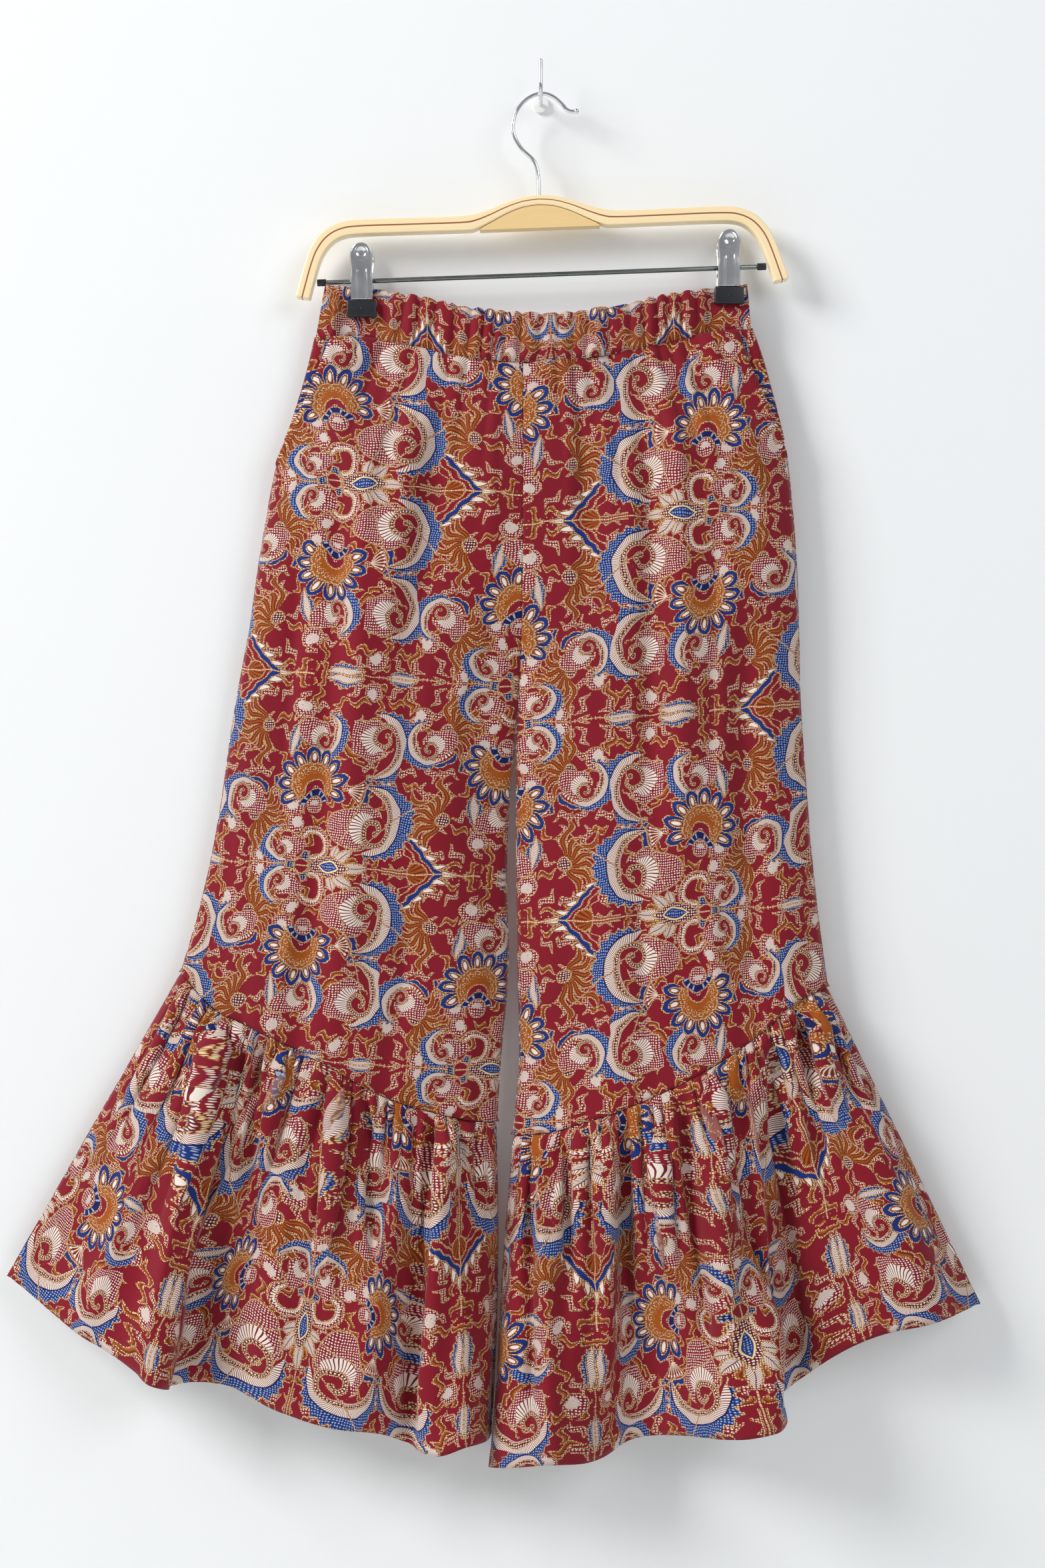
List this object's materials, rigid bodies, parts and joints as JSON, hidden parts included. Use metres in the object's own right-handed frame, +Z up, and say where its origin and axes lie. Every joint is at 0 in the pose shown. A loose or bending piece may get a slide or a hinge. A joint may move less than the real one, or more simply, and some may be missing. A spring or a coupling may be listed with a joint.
{
  "type": "batik trousers on a clip hanger with a wall hook",
  "caption": "Wide-leg batik trousers with a gathered elastic waist, slanted side pockets and deep gathered flounces, hanging from a wooden clip hanger on a wall hook.",
  "frame": {"origin": "centre of the wall hook's flat back face, which lies on the wall", "axes": "+Y goes into the wall, +Z is up, and +X is to the right of someone who faces the trousers' front"},
  "size_m": [0.7468, 0.0862, 1.0771],
  "materials": {
    "printed_cotton": "light plain-weave cotton with a batik print in dark red, ochre, cream and blue, softly creased",
    "light_wood": "pale bent laminate under clear lacquer, one dark line along its middle",
    "core_wood": "pale wood filler under clear lacquer",
    "polished_steel": "bright chrome plate",
    "black_rubber": "smooth black, slightly glossy",
    "white_plastic": "smooth white"
  },
  "bodies": {
    "root": {"waistband_front": "printed_cotton", "waistband_back": "printed_cotton", "leg_front_left": "printed_cotton", "leg_front_right": "printed_cotton", "leg_back_left": "printed_cotton", "leg_back_right": "printed_cotton", "pocket_facing_left": "printed_cotton", "pocket_facing_right": "printed_cotton", "flounce_front_left": "printed_cotton", "flounce_front_right": "printed_cotton", "flounce_back_left": "printed_cotton", "flounce_back_right": "printed_cotton", "hanger_bow": "light_wood", "hanger_core": "core_wood", "hanger_rod": "polished_steel", "hanger_hook": "polished_steel", "rod_cap_left": "black_rubber", "rod_cap_right": "black_rubber", "wall_plate": "white_plastic", "wall_hook": "polished_steel", "clip_spring_left": "polished_steel", "clip_front_left": "polished_steel", "clip_tip_front_left": "black_rubber", "clip_back_left": "polished_steel", "clip_tip_back_left": "black_rubber", "clip_spring_right": "polished_steel", "clip_front_right": "polished_steel", "clip_tip_front_right": "black_rubber", "clip_back_right": "polished_steel", "clip_tip_back_right": "black_rubber"}
  },
  "joints": []
}
